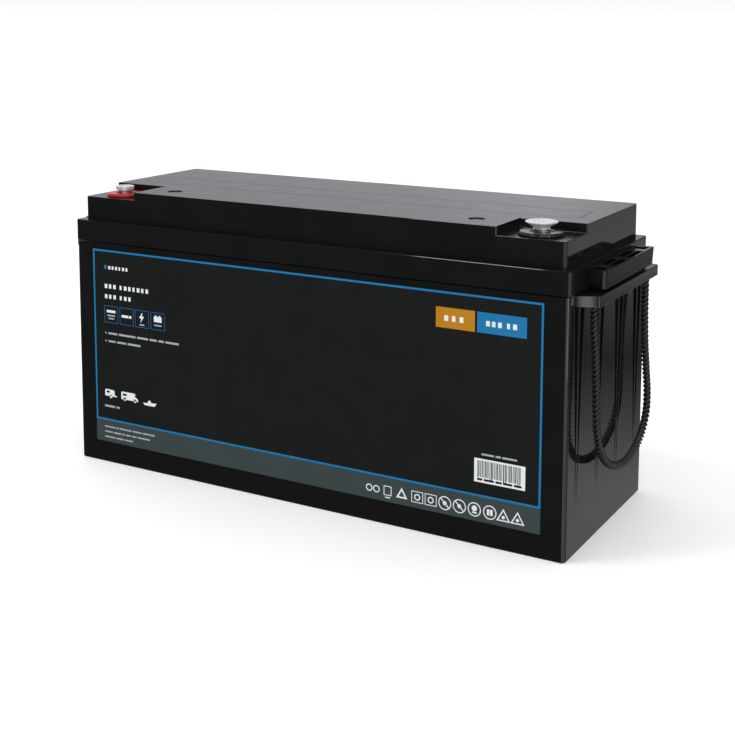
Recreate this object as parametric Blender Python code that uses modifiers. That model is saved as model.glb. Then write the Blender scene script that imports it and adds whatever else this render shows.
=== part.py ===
"""Deep cycle battery: a 12 V absorbed-glass-mat lead block with six cells in a row.

Metres, +Z up. The origin is the middle of the base. +X runs along the block to the negative
terminal, and the labelled long side faces -Y. Run it with: blender --background --python part.py
"""

import math

import bmesh
import bpy
from mathutils import Matrix, Vector

# Overall block
LENGTH = 0.485  # over the end flanges and handle blocks
WIDTH = 0.172
HEIGHT = 0.240
GAP = 0.0003  # between pieces that rest on each other
SINK = 0.003  # how far a joined piece reaches into its neighbour
CLEAR = 0.002  # how far a cutter starts outside the face it opens

# Container
BODY_LENGTH = 0.453
BODY_WIDTH = 0.1708
BODY_TOP = 0.1952
CORNER = 0.0035
FLOOR = 0.005
SIDE_WALL = 0.004
END_WALL = 0.008
PARTITION = 0.0032
CELLS = 6

# Tapered grooves in the end walls, each a pair of channels beside a thin rib
GROOVES = 4
GROOVE_PITCH = 0.0434
GROOVE_HALF = 0.0105
GROOVE_RIB_HALF = 0.0012
GROOVE_DEPTH = 0.0045
GROOVE_TIP_DEPTH = 0.0012
GROOVE_TIP = 0.041

# End flange of the container
FLANGE_LOW = 0.186
FLANGE_HIGH = 0.1944
FLANGE_ROOT_HALF = 0.0735
FLANGE_TIP_HALF = 0.0675
FLANGE_CORNER = 0.002
ROPE_X = 0.235
ROPE_Y = 0.0585
ROPE_RADIUS = 0.003
ROPE_CLEAR = 0.0005
KNOT_RADIUS = 0.0040
KNOT_LOW = FLANGE_LOW + 0.0028
KNOT_HIGH = FLANGE_HIGH - 0.0017
KNOT_CHAMFER = 0.001

# Cover
SKIRT_LENGTH = 0.454
SKIRT_LOW = BODY_TOP + GAP
SKIRT_HIGH = 0.2133
DECK_INSET = 0.0065
DECK_CEILING = 0.235
TERMINAL_CEILING = 0.225
CORE_CEILING = 0.224
CORE_HALF = 0.024
LID_WALL = 0.004
NOTCH_LENGTH = 0.053
NOTCH_DEPTH = 0.0435
NOTCH_FLOOR = 0.2332
DIMPLE_X = 0.141
DIMPLE_Y = -0.056
DIMPLE_RADIUS = 0.0062
DIMPLE_DEPTH = 0.0008

# Handle block on each end of the cover
BLOCK_LOW = 0.1968
BLOCK_HIGH = 0.2105
BLOCK_ROOT_HALF = 0.050
BLOCK_TIP_HALF = 0.057
BLOCK_CORNER = 0.0035
BLOCK_DRAFT = 0.0008
BLOCK_FLOOR = 0.2015
CELL_ROWS = ((0.2293, 0.2343), (0.2361, 0.2407))
CELL_INNER = 0.004
CELL_OUTER = 0.032
CELL_RIM = 0.0019
END_CELL_INNER = 0.0405
END_CELL_REACH = 0.2392

# Vent channel, vent plate and valves
CHANNEL_LENGTH = 0.411
CHANNEL_WIDTH = 0.037
CHANNEL_DEPTH = 0.0026
CHANNEL_CORNER = 0.003
PLATE_THICK = 0.0022
WELL_RADIUS = 0.009
WELL_FLOOR = 0.2295
NECK_RADIUS = 0.005
NECK_BORE = 0.0025
NECK_TOP = 0.2345
VALVE_RADIUS = 0.0074

# Terminals, at (-/+ TERMINAL_X, TERMINAL_Y)
TERMINAL_X = 0.1938
TERMINAL_Y = -0.0585
POST_RADIUS = 0.0075
POST_TOP = 0.2355
POST_BORE = 0.0060
POST_HOLE_CLEAR = 0.0004
INSERT_LOW = 0.2220
INSERT_TOP = 0.2370
INSERT_RADIUS = 0.0057
INSERT_FLOOR = 0.002
COLLAR_RADIUS = 0.0064
THREAD_BORE = 0.0042
SEAL_RADIUS = 0.0170
SEAL_TOP = 0.2360
SEAL_CHAMFER = 0.0006
SEAL_WELL_RADIUS = 0.0125
SEAL_WELL_FLOOR = 0.2306
O_RING_SEAT_RADIUS = 0.0104
O_RING_SEAT_FLOOR = 0.2276
O_RING_SIDES = 6
BOLT_RADIUS = 0.0039
BOLT_HEADS = {"negative": (0.0120, 0.0060), "positive": (0.0080, 0.0078)}  # rim and foot radius
BOLT_HEAD_LOW = 0.2388
BOLT_HEAD_HIGH = 0.2432
BOLT_EDGE = 0.0005
BOLT_TIP = 0.2262
BOLT_TIP_CHAMFER = 0.0008
SOCKET_RADIUS = 0.0029
SOCKET_DEPTH = 0.0016
WASHER_RADIUS = 0.0062
WASHER_BORE = 0.0043

# Plate stack of a cell
NEGATIVES = 7
POSITIVES = 6
NEGATIVE_THICK = 0.0024
POSITIVE_THICK = 0.0032
STACK_MARGIN = 0.0012
PLATE_HALF = 0.075
PLATE_LOW = 0.008
PLATE_HIGH = 0.168
LUG_HALF = 0.006
MAT_BELOW = 0.002
MAT_ABOVE = 0.003
STRAP_Y = 0.0585
STRAP_HALF = 0.009
STRAP_LOW = 0.178
STRAP_HIGH = 0.188
STRAP_CLEAR = 0.001
WELD_RADIUS = 0.004

# Front label
LABEL_HALF = 0.208
LABEL_LOW = 0.0187
LABEL_HIGH = 0.1893
LABEL_THICK = 0.0003

# Rope handle: a short link under the flange and a hanging loop of (|y|, z) points
LINK_TOP = FLANGE_LOW - 0.00015
LINK_LENGTH = 0.015
LOOP_STRAIGHT = 0.003
LOOP_HANG = (
    (0.0570, 0.150),
    (0.0565, 0.130),
    (0.0580, 0.108),
    (0.0585, 0.092),
    (0.0540, 0.076),
    (0.0410, 0.0625),
    (0.0215, 0.0540),
    (0.0, 0.0510),
)
LOOP_LEAN = 0.008  # how far the hanging bight swings to one side
LOOP_SWING = 0.0043  # how far it stands off the end wall at its lowest point

ROUND = 16  # steps round a turned shape
FEW = 12  # steps round a small one
TIP_TURN = math.radians(70)  # how far a plan outline turns at its outer corners
TIP_STEPS = 3


def clear_scene():
    for obj in list(bpy.data.objects):
        bpy.data.objects.remove(obj, do_unlink=True)


def collection(name, shown=True):
    made = bpy.data.collections.new(name)
    made.hide_render = not shown
    bpy.context.scene.collection.children.link(made)
    return made


def material(name, colour, roughness, metallic=0.0):
    made = bpy.data.materials.new(name)
    made.use_nodes = True
    shader = made.node_tree.nodes["Principled BSDF"]
    shader.inputs["Base Color"].default_value = (*colour, 1.0)
    shader.inputs["Roughness"].default_value = roughness
    shader.inputs["Metallic"].default_value = metallic
    made.diffuse_color = (*colour, 1.0)
    return made


clear_scene()
PARTS = collection("deep_cycle_battery")
CUTTERS = collection("cutters", shown=False)

CASE_BLACK = material("case_black", (0.012, 0.013, 0.013), 0.12)
RUBBER = material("valve_rubber", (0.02, 0.02, 0.02), 0.8)
PLATE_BROWN = material("positive_paste", (0.10, 0.055, 0.035), 0.9)
PLATE_GREY = material("negative_paste", (0.22, 0.23, 0.24), 0.8)
GLASS_MAT = material("glass_mat", (0.85, 0.85, 0.82), 0.95)
LEAD = material("cast_lead", (0.35, 0.36, 0.38), 0.5, 1.0)
BRASS = material("tinned_brass", (0.72, 0.70, 0.64), 0.3, 1.0)
STEEL = material("bright_steel", (0.78, 0.78, 0.78), 0.2, 1.0)
SEAL_RED = material("red_seal", (0.55, 0.03, 0.03), 0.2)
SEAL_BLACK = material("black_seal", (0.02, 0.02, 0.02), 0.2)
LABEL = material("label_film", (0.015, 0.02, 0.022), 0.3)
ROPE = material("black_rope", (0.03, 0.03, 0.03), 0.8)


def place(name, mesh, look=None, at=(0.0, 0.0, 0.0)):
    """Adds the mesh as an object: a part when it has a look, and otherwise a cutter."""
    obj = bpy.data.objects.new(name, mesh)
    obj.location = at
    if look:
        PARTS.objects.link(obj)
        mesh.materials.clear()
        mesh.materials.append(look)
    else:
        CUTTERS.objects.link(obj)
        obj.hide_render = True
        obj.display_type = "WIRE"
    return obj


def mesh_from(bm, name):
    mesh = bpy.data.meshes.new(name)
    bmesh.ops.recalc_face_normals(bm, faces=bm.faces)
    bm.to_mesh(mesh)
    bm.free()
    return mesh


def box_into(bm, low, high):
    low, high = Vector(low), Vector(high)
    grow = Matrix.Diagonal((*(high - low), 1.0))
    bmesh.ops.create_cube(bm, size=1.0, matrix=Matrix.Translation((low + high) / 2) @ grow)


def box(name, low, high, look=None):
    bm = bmesh.new()
    box_into(bm, low, high)
    return place(name, mesh_from(bm, name), look)


def rod_into(bm, radius, low, high, centre, steps=ROUND, along_x=False):
    turn = Matrix.Rotation(math.pi / 2, 4, "Y") if along_x else Matrix.Identity(4)
    bmesh.ops.create_cone(
        bm,
        cap_ends=True,
        segments=steps,
        radius1=radius,
        radius2=radius,
        depth=high - low,
        matrix=Matrix.Translation(centre) @ turn,
    )


def upright_rod(name, radius, low, high, x, y, steps=ROUND):
    bm = bmesh.new()
    rod_into(bm, radius, low, high, (x, y, (low + high) / 2), steps)
    return place(name, mesh_from(bm, name))


def solid_from_curve(name, curve, look=None):
    """Makes a mesh object from the curve, with its loose caps welded on."""
    guide = bpy.data.objects.new(name + "_guide", curve)
    bpy.context.scene.collection.objects.link(guide)
    bpy.context.view_layer.update()
    graph = bpy.context.evaluated_depsgraph_get()
    mesh = bpy.data.meshes.new_from_object(guide.evaluated_get(graph))
    bpy.data.objects.remove(guide, do_unlink=True)
    bm = bmesh.new()
    bm.from_mesh(mesh)
    bmesh.ops.remove_doubles(bm, verts=bm.verts, dist=1e-6)
    bmesh.ops.recalc_face_normals(bm, faces=bm.faces)
    bm.to_mesh(mesh)
    bm.free()
    return place(name, mesh, look)


def prism(name, outline, low, high, look=None):
    """An upright prism over an outline of (x, y) points."""
    curve = bpy.data.curves.new(name, "CURVE")
    curve.dimensions = "2D"
    curve.fill_mode = "BOTH"
    curve.extrude = (high - low) / 2
    spline = curve.splines.new("POLY")
    spline.points.add(len(outline) - 1)
    for point, (x, y) in zip(spline.points, outline):
        point.co = (x, y, 0.0, 1.0)
    spline.use_cyclic_u = True
    solid = solid_from_curve(name, curve, look)
    solid.data.transform(Matrix.Translation((0.0, 0.0, (low + high) / 2)))
    return solid


def rounded(half_x, half_y, radius, steps=3, centre=(0.0, 0.0)):
    """The outline of a rectangle with round corners."""
    points = []
    for quarter, (sx, sy) in enumerate(((1, 1), (-1, 1), (-1, -1), (1, -1))):
        for step in range(steps + 1):
            angle = math.pi / 2 * (quarter + step / steps)
            points.append(
                (
                    centre[0] + sx * (half_x - radius) + radius * math.cos(angle),
                    centre[1] + sy * (half_y - radius) + radius * math.sin(angle),
                )
            )
    return points


def turned(name, profile, look=None, at=(0.0, 0.0, 0.0), steps=ROUND):
    """A closed (radius, z) profile turned about Z. It runs down its outer side."""
    mesh = bpy.data.meshes.new(name)
    on_axis = [r == 0.0 for r, z in profile]
    edges = [(i, (i + 1) % len(profile)) for i in range(len(profile))]
    edges = [(a, b) for a, b in edges if not (on_axis[a] and on_axis[b])]
    mesh.from_pydata([(r, 0.0, z) for r, z in profile], edges, [])
    obj = place(name, mesh, look, at)
    screw = obj.modifiers.new("Turn", "SCREW")
    screw.steps = steps
    screw.render_steps = steps
    screw.use_merge_vertices = True
    screw.merge_threshold = 1e-6
    return obj


def cut(obj, *cutters):
    for cutter in cutters:
        boolean = obj.modifiers.new("Cut " + cutter.name, "BOOLEAN")
        boolean.object = cutter
        boolean.operation = "DIFFERENCE"
        boolean.solver = "EXACT"


def join(obj, *others):
    for other in others:
        boolean = obj.modifiers.new("Join " + other.name, "BOOLEAN")
        boolean.object = other
        boolean.operation = "UNION"
        boolean.solver = "EXACT"


def move_origin(obj, where):
    """Puts the object's origin on its joint axis and leaves its shape where it is."""
    obj.data.transform(Matrix.Translation(-Vector(where)))
    obj.location = where


def smooth(obj, degrees=35):
    obj.data.shade_smooth()
    obj.data.set_sharp_from_angle(angle=math.radians(degrees))


# Cells along X

CAVITY_HALF = BODY_LENGTH / 2 - END_WALL
CELL_LENGTH = (2 * CAVITY_HALF - (CELLS - 1) * PARTITION) / CELLS
CAVITY_Y = BODY_WIDTH / 2 - SIDE_WALL


def cell_span(cell):
    low = -CAVITY_HALF + cell * (CELL_LENGTH + PARTITION)
    return low, low + CELL_LENGTH


def strap_y(cell, positive):
    """The straps change sides from cell to cell, so that each weld joins unlike poles."""
    front = (cell % 2 == 0) == positive
    return -STRAP_Y if front else STRAP_Y


# Container


def tip_corner(x, y, radius):
    """Points round an outer corner of a plan outline, from its end face towards its side."""
    points = []
    for step in range(TIP_STEPS + 1):
        angle = TIP_TURN * step / TIP_STEPS
        points.append((x - radius + radius * math.cos(angle), y - radius + radius * math.sin(angle)))
    return points


def mirrored_outline(half):
    """Closes a half outline, from its end face round to its root, with its mirror image in Y."""
    return [(x, -y) for x, y in half[::-1]] + half


def flange(side):
    face = BODY_LENGTH / 2
    half = tip_corner(LENGTH / 2, FLANGE_TIP_HALF, FLANGE_CORNER)
    half += [(face, FLANGE_ROOT_HALF), (face - SINK, FLANGE_ROOT_HALF)]
    outline = [(side * x, y) for x, y in mirrored_outline(half)]
    name = "flange_right" if side > 0 else "flange_left"
    return prism(name, outline, FLANGE_LOW, FLANGE_HIGH)


def groove_channels(side):
    """Two slim wedge-shaped channels at each groove, widest under the flange, that run to a tip."""
    bm = bmesh.new()
    face = BODY_LENGTH / 2
    top = FLANGE_LOW + CLEAR
    for groove in range(GROOVES):
        middle = (groove - (GROOVES - 1) / 2) * GROOVE_PITCH
        for hand in (-1, 1):
            near = middle + hand * GROOVE_RIB_HALF
            far = middle + hand * GROOVE_HALF
            corners = []
            for depth, tip_depth in ((-CLEAR, -CLEAR), (GROOVE_DEPTH, GROOVE_TIP_DEPTH)):
                corners += [
                    (side * (face - depth), near, top),
                    (side * (face - depth), far, top),
                    (side * (face - tip_depth), near, GROOVE_TIP),
                ]
            made = [bm.verts.new(corner) for corner in corners]
            bmesh.ops.convex_hull(bm, input=made)
    name = "grooves_right" if side > 0 else "grooves_left"
    return place(name, mesh_from(bm, name))


def container():
    body = prism(
        "container",
        rounded(BODY_LENGTH / 2, BODY_WIDTH / 2, CORNER),
        0.0,
        BODY_TOP,
        CASE_BLACK,
    )
    cells = bmesh.new()
    for cell in range(CELLS):
        low, high = cell_span(cell)
        box_into(cells, (low, -CAVITY_Y, FLOOR), (high, CAVITY_Y, BODY_TOP + CLEAR))
    welds = bmesh.new()
    weld_z = (STRAP_LOW + STRAP_HIGH) / 2
    for cell in range(CELLS - 1):
        wall = cell_span(cell)[1] + PARTITION / 2
        rod_into(
            welds,
            WELD_RADIUS + GAP,
            0.0,
            PARTITION * 3,
            (wall, strap_y(cell, False), weld_z),
            FEW,
            along_x=True,
        )
    join(body, flange(1), flange(-1))
    cut(body, place("cells", mesh_from(cells, "cells")))
    cut(body, place("weld_holes", mesh_from(welds, "weld_holes")))
    cut(body, groove_channels(1), groove_channels(-1))
    cut(body, *rope_holes())
    return body


def rope_holes():
    """Blind holes under the flanges, wide at their inner end to hold the knotted rope ends."""
    step = KNOT_LOW - GAP
    ceiling = KNOT_HIGH + GAP
    profile = (
        (KNOT_RADIUS + ROPE_CLEAR, ceiling),
        (KNOT_RADIUS + ROPE_CLEAR, step),
        (ROPE_RADIUS + ROPE_CLEAR, step),
        (ROPE_RADIUS + ROPE_CLEAR, FLANGE_LOW - CLEAR),
        (0.0, FLANGE_LOW - CLEAR),
        (0.0, ceiling),
    )
    holes = []
    for x in (-ROPE_X, ROPE_X):
        for y in (-ROPE_Y, ROPE_Y):
            name = f"rope_hole_{len(holes) + 1}"
            holes.append(turned(name, profile, at=(x, y, 0.0), steps=FEW))
    return holes


# Cover


def handle_block(side):
    """A shallow-drafted block whose outline flares from the cover to its rounded outer corners."""
    bm = bmesh.new()
    for z, inset in ((BLOCK_LOW, BLOCK_DRAFT), (BLOCK_HIGH, 0.0)):
        half = tip_corner(LENGTH / 2 - inset, BLOCK_TIP_HALF - inset, BLOCK_CORNER)
        half.append((SKIRT_LENGTH / 2 - SINK, BLOCK_ROOT_HALF - inset))
        for x, y in mirrored_outline(half):
            bm.verts.new((side * x, y, z))
    bmesh.ops.convex_hull(bm, input=list(bm.verts))
    name = "block_right" if side > 0 else "block_left"
    return place(name, mesh_from(bm, name))


def handle_cells():
    """Open cells in the top of both handle blocks: two rows, and a wide one at each end."""
    bm = bmesh.new()
    top = BLOCK_HIGH + CLEAR
    flare = (BLOCK_TIP_HALF - BLOCK_ROOT_HALF) / (LENGTH / 2 - SKIRT_LENGTH / 2)
    for side in (-1, 1):
        for hand in (-1, 1):
            for inner, outer in CELL_ROWS:
                xs = sorted((side * inner, side * outer))
                ys = sorted((hand * CELL_INNER, hand * CELL_OUTER))
                box_into(bm, (xs[0], ys[0], BLOCK_FLOOR), (xs[1], ys[1], top))
            corners = []
            for x in (CELL_ROWS[0][0], END_CELL_REACH):
                edge = BLOCK_ROOT_HALF + flare * (x - SKIRT_LENGTH / 2) - CELL_RIM
                for y in (END_CELL_INNER, edge):
                    for z in (BLOCK_FLOOR, top):
                        corners.append((side * x, hand * y, z))
            made = [bm.verts.new(corner) for corner in corners]
            bmesh.ops.convex_hull(bm, input=made)
    return place("handle_cells", mesh_from(bm, "handle_cells"))


def lid_pockets():
    """The hollow under the lid, one pocket to a cell, with the partitions left standing."""
    deck_x = SKIRT_LENGTH / 2 - DECK_INSET - SIDE_WALL
    deck_y = WIDTH / 2 - DECK_INSET - SIDE_WALL
    start = SKIRT_LOW - CLEAR
    pockets = {zone: bmesh.new() for zone in ("low", "rear", "front", "core")}
    for cell in range(CELLS):
        low, high = cell_span(cell)
        ceiling = SKIRT_HIGH - LID_WALL
        box_into(pockets["low"], (low, -CAVITY_Y, start), (high, CAVITY_Y, ceiling))
        low, high = max(low, -deck_x), min(high, deck_x)
        box_into(pockets["rear"], (low, CORE_HALF, start), (high, deck_y, DECK_CEILING))
        ceiling = TERMINAL_CEILING if cell in (0, CELLS - 1) else DECK_CEILING
        box_into(pockets["front"], (low, -deck_y, start), (high, -CORE_HALF, ceiling))
        reach = CORE_HALF + CLEAR
        box_into(pockets["core"], (low, -reach, start), (high, reach, CORE_CEILING))
    return [
        place(f"lid_pockets_{zone}", mesh_from(bm, zone)) for zone, bm in pockets.items()
    ]


def vent_wells():
    """A ring-shaped well round each vent neck, and the bore of the neck."""
    bores = bmesh.new()
    wells = []
    for cell in range(CELLS):
        middle = sum(cell_span(cell)) / 2
        top = HEIGHT - CHANNEL_DEPTH + CLEAR
        profile = (
            (WELL_RADIUS, top),
            (WELL_RADIUS, WELL_FLOOR),
            (NECK_RADIUS, WELL_FLOOR),
            (NECK_RADIUS, NECK_TOP),
            (0.0, NECK_TOP),
            (0.0, top),
        )
        wells.append(turned(f"vent_well_{cell + 1}", profile, at=(middle, 0.0, 0.0)))
        low, high = CORE_CEILING - CLEAR, NECK_TOP + CLEAR
        rod_into(bores, NECK_BORE, low, high, (middle, 0.0, (low + high) / 2), FEW)
    wells.append(place("vent_bores", mesh_from(bores, "vent_bores")))
    return wells


def terminal_cutters(side):
    """The open corner notch, the seal well, the O-ring seat and the hole for the post."""
    x_end = SKIRT_LENGTH / 2 - DECK_INSET
    y_end = -(WIDTH / 2 - DECK_INSET)
    xs = sorted((side * (x_end - NOTCH_LENGTH), side * (x_end + CLEAR)))
    hand = "right" if side > 0 else "left"
    notch = box(
        "notch_" + hand,
        (xs[0], y_end - CLEAR, NOTCH_FLOOR),
        (xs[1], y_end + NOTCH_DEPTH, HEIGHT + CLEAR),
    )
    x = side * TERMINAL_X
    low = TERMINAL_CEILING - CLEAR
    top = NOTCH_FLOOR + CLEAR
    profile = (
        (SEAL_WELL_RADIUS, top),
        (SEAL_WELL_RADIUS, SEAL_WELL_FLOOR),
        (O_RING_SEAT_RADIUS, SEAL_WELL_FLOOR),
        (O_RING_SEAT_RADIUS, O_RING_SEAT_FLOOR),
        (POST_RADIUS + POST_HOLE_CLEAR, O_RING_SEAT_FLOOR),
        (POST_RADIUS + POST_HOLE_CLEAR, low),
        (0.0, low),
        (0.0, top),
    )
    return notch, turned("terminal_well_" + hand, profile, at=(x, TERMINAL_Y, 0.0))


def cover():
    body = prism(
        "cover",
        rounded(SKIRT_LENGTH / 2, WIDTH / 2, CORNER),
        SKIRT_LOW,
        SKIRT_HIGH,
        CASE_BLACK,
    )
    deck = prism(
        "deck",
        rounded(SKIRT_LENGTH / 2 - DECK_INSET, WIDTH / 2 - DECK_INSET, CORNER),
        SKIRT_HIGH - SINK,
        HEIGHT,
    )
    join(body, deck, handle_block(1), handle_block(-1))
    cut(body, *lid_pockets(), handle_cells())
    channel = prism(
        "vent_channel",
        rounded(CHANNEL_LENGTH / 2, CHANNEL_WIDTH / 2, CHANNEL_CORNER),
        HEIGHT - CHANNEL_DEPTH,
        HEIGHT + CLEAR,
    )
    cut(body, channel, *vent_wells())
    cut(body, *terminal_cutters(1), *terminal_cutters(-1))
    for hand, x in (("right", DIMPLE_X), ("left", -DIMPLE_X)):
        low, high = HEIGHT - DIMPLE_DEPTH, HEIGHT + CLEAR
        cut(body, upright_rod("dimple_" + hand, DIMPLE_RADIUS, low, high, x, DIMPLE_Y))
    return body


# Vent plate and valves


def vent_parts():
    prism(
        "vent_cover_plate",
        rounded(CHANNEL_LENGTH / 2 - GAP, CHANNEL_WIDTH / 2 - GAP, CHANNEL_CORNER - GAP),
        HEIGHT - PLATE_THICK,
        HEIGHT,
        CASE_BLACK,
    )
    top = HEIGHT - PLATE_THICK - GAP
    bottom = WELL_FLOOR + GAP
    for cell in range(CELLS):
        profile = (
            (VALVE_RADIUS, top),
            (VALVE_RADIUS, bottom),
            (NECK_RADIUS + GAP, bottom),
            (NECK_RADIUS + GAP, NECK_TOP + GAP),
            (0.0, NECK_TOP + GAP),
            (0.0, top),
        )
        middle = sum(cell_span(cell)) / 2
        cap = turned(f"valve_cap_{cell + 1}", profile, RUBBER, (middle, 0.0, 0.0))
        smooth(cap)


# Plates, separators and the welds between cells


def plate_places(cell):
    """The X positions of the cell's negative and positive plates, one after the other."""
    low, high = cell_span(cell)
    low, high = low + STACK_MARGIN, high - STACK_MARGIN
    first = low + NEGATIVE_THICK / 2
    last = high - NEGATIVE_THICK / 2
    pitch = (last - first) / (NEGATIVES + POSITIVES - 1)
    places = [first + pitch * i for i in range(NEGATIVES + POSITIVES)]
    return places[0::2], places[1::2], pitch


def plate_group(cell, positive):
    """Plates with a lug each, joined by the strap that is cast across the lugs."""
    negatives, positives, _ = plate_places(cell)
    places = positives if positive else negatives
    thick = POSITIVE_THICK if positive else NEGATIVE_THICK
    y = strap_y(cell, positive)
    pole = "positive" if positive else "negative"
    name = f"{pole}_plate_group_{cell + 1}"
    plates = bmesh.new()
    outline = (
        (-PLATE_HALF, PLATE_LOW),
        (PLATE_HALF, PLATE_LOW),
        (PLATE_HALF, PLATE_HIGH),
        (y + LUG_HALF, PLATE_HIGH),
        (y + LUG_HALF, STRAP_LOW + SINK),
        (y - LUG_HALF, STRAP_LOW + SINK),
        (y - LUG_HALF, PLATE_HIGH),
        (-PLATE_HALF, PLATE_HIGH),
    )
    for x in places:
        face = plates.faces.new([plates.verts.new((x - thick / 2, py, pz)) for py, pz in outline])
        grown = bmesh.ops.extrude_face_region(plates, geom=[face])
        moved = [item for item in grown["geom"] if isinstance(item, bmesh.types.BMVert)]
        bmesh.ops.translate(plates, verts=moved, vec=(thick, 0.0, 0.0))
    group = place(name, mesh_from(plates, name), PLATE_BROWN if positive else PLATE_GREY)
    low, high = places[0] - thick, places[-1] + thick
    cell_low, cell_high = cell_span(cell)
    if positive and cell > 0:
        low = cell_low + STRAP_CLEAR
    if not positive and cell < CELLS - 1:
        high = cell_high - STRAP_CLEAR
    strap = box(name + "_strap", (low, y - STRAP_HALF, STRAP_LOW), (high, y + STRAP_HALF, STRAP_HIGH))
    join(group, strap)


def glass_mat(cell):
    """One long mat folded back and forth round the upright edges of the plates."""
    negatives, positives, pitch = plate_places(cell)
    places = sorted(negatives + positives)
    thick = pitch - (NEGATIVE_THICK + POSITIVE_THICK) / 2 - 2 * GAP
    shift = (NEGATIVE_THICK - POSITIVE_THICK) / 4
    turn = PLATE_HALF + GAP + thick / 2
    path = []
    for i in range(len(places) - 1):
        x = (places[i] + places[i + 1]) / 2 + (shift if i % 2 == 0 else -shift)
        ends = (-turn, turn) if i % 2 == 0 else (turn, -turn)
        path += [(x, ends[0]), (x, ends[1])]
    path[0] = (path[0][0], -PLATE_HALF)
    path[-1] = (path[-1][0], -PLATE_HALF if len(places) % 2 == 1 else PLATE_HALF)
    name = f"glass_mat_{cell + 1}"
    prism(name, band(path, thick), PLATE_LOW - MAT_BELOW, PLATE_HIGH + MAT_ABOVE, GLASS_MAT)


def band(path, thick):
    """The outline of a band of this thickness along a path of square turns."""
    left, right = [], []
    for i, point in enumerate(path):
        sides = Vector((0.0, 0.0))
        for a, b in ((i - 1, i), (i, i + 1)):
            if a >= 0 and b < len(path):
                along = (Vector(path[b]) - Vector(path[a])).normalized()
                sides += Vector((-along.y, along.x))
        offset = sides * thick / 2
        left.append(tuple(Vector(point) + offset))
        right.append(tuple(Vector(point) - offset))
    return left + right[::-1]


def intercell_weld(cell):
    name = f"intercell_weld_{cell + 1}"
    wall = cell_span(cell)[1] + PARTITION / 2
    length = PARTITION + 2 * (STRAP_CLEAR - GAP)
    bm = bmesh.new()
    middle = (wall, strap_y(cell, False), (STRAP_LOW + STRAP_HIGH) / 2)
    rod_into(bm, WELD_RADIUS, 0.0, length, middle, FEW, along_x=True)
    smooth(place(name, mesh_from(bm, name), LEAD))


# Terminals


def terminal(side):
    pole = "negative" if side > 0 else "positive"
    at = (side * TERMINAL_X, TERMINAL_Y, 0.0)
    post = (
        (POST_RADIUS, POST_TOP),
        (POST_RADIUS, STRAP_HIGH + GAP),
        (0.0, STRAP_HIGH + GAP),
        (0.0, INSERT_LOW - GAP),
        (POST_BORE, INSERT_LOW - GAP),
        (POST_BORE, POST_TOP),
    )
    insert = (
        (COLLAR_RADIUS, INSERT_TOP),
        (COLLAR_RADIUS, POST_TOP + GAP),
        (INSERT_RADIUS, POST_TOP + GAP),
        (INSERT_RADIUS, INSERT_LOW),
        (0.0, INSERT_LOW),
        (0.0, INSERT_LOW + INSERT_FLOOR),
        (THREAD_BORE, INSERT_LOW + INSERT_FLOOR),
        (THREAD_BORE, INSERT_TOP),
    )
    seal = (
        (SEAL_RADIUS - SEAL_CHAMFER, SEAL_TOP),
        (SEAL_RADIUS, SEAL_TOP - SEAL_CHAMFER),
        (SEAL_RADIUS, NOTCH_FLOOR + GAP),
        (SEAL_WELL_RADIUS - GAP, NOTCH_FLOOR + GAP),
        (SEAL_WELL_RADIUS - GAP, SEAL_WELL_FLOOR + GAP),
        (POST_RADIUS + GAP, SEAL_WELL_FLOOR + GAP),
        (POST_RADIUS + GAP, SEAL_TOP),
    )
    seal_look = SEAL_BLACK if side > 0 else SEAL_RED
    for name, profile, look in (
        (f"{pole}_terminal_post", post, LEAD),
        (f"{pole}_threaded_insert", insert, BRASS),
        (f"{pole}_seal_ring", seal, seal_look),
    ):
        smooth(turned(name, profile, look, at))
    o_ring(f"{pole}_post_o_ring", at)
    bolt_and_washer(pole, at)


def o_ring(name, at):
    """A rubber ring round the post, in its seat under the seal."""
    middle = (POST_RADIUS + O_RING_SEAT_RADIUS) / 2
    radius = (O_RING_SEAT_RADIUS - POST_RADIUS) / 2 - GAP
    centre = O_RING_SEAT_FLOOR + GAP + radius
    profile = []
    for step in range(O_RING_SIDES):
        angle = -2 * math.pi * step / O_RING_SIDES
        profile.append((middle + radius * math.cos(angle), centre + radius * math.sin(angle)))
    smooth(turned(name, profile, RUBBER, at), 60)


def bolt_and_washer(pole, at):
    rim, foot = BOLT_HEADS[pole]
    bolt_profile = (
        (rim - BOLT_EDGE, BOLT_HEAD_HIGH),
        (rim, BOLT_HEAD_HIGH - BOLT_EDGE),
        (foot, BOLT_HEAD_LOW),
        (BOLT_RADIUS, BOLT_HEAD_LOW),
        (BOLT_RADIUS, BOLT_TIP + BOLT_TIP_CHAMFER),
        (BOLT_RADIUS - BOLT_TIP_CHAMFER, BOLT_TIP),
        (0.0, BOLT_TIP),
        (0.0, BOLT_HEAD_HIGH),
    )
    bolt = turned(f"{pole}_terminal_bolt", bolt_profile, STEEL, at)
    socket = bmesh.new()
    low, high = BOLT_HEAD_HIGH - SOCKET_DEPTH, BOLT_HEAD_HIGH + CLEAR
    rod_into(socket, SOCKET_RADIUS, low, high, (at[0], at[1], (low + high) / 2), 6)
    cut(bolt, place(f"{pole}_hex_socket", mesh_from(socket, "hex_socket")))
    smooth(bolt)
    washer = (
        (WASHER_RADIUS, BOLT_HEAD_LOW - GAP),
        (WASHER_RADIUS, INSERT_TOP + GAP),
        (WASHER_BORE, INSERT_TOP + GAP),
        (WASHER_BORE, BOLT_HEAD_LOW - GAP),
    )
    smooth(turned(f"{pole}_spring_washer", washer, STEEL, at))


# Label and rope handles


def front_label():
    back = BODY_WIDTH / 2 + GAP
    box(
        "front_label",
        (-LABEL_HALF, -back - LABEL_THICK, LABEL_LOW),
        (LABEL_HALF, -back, LABEL_HIGH),
        LABEL,
    )


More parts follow.
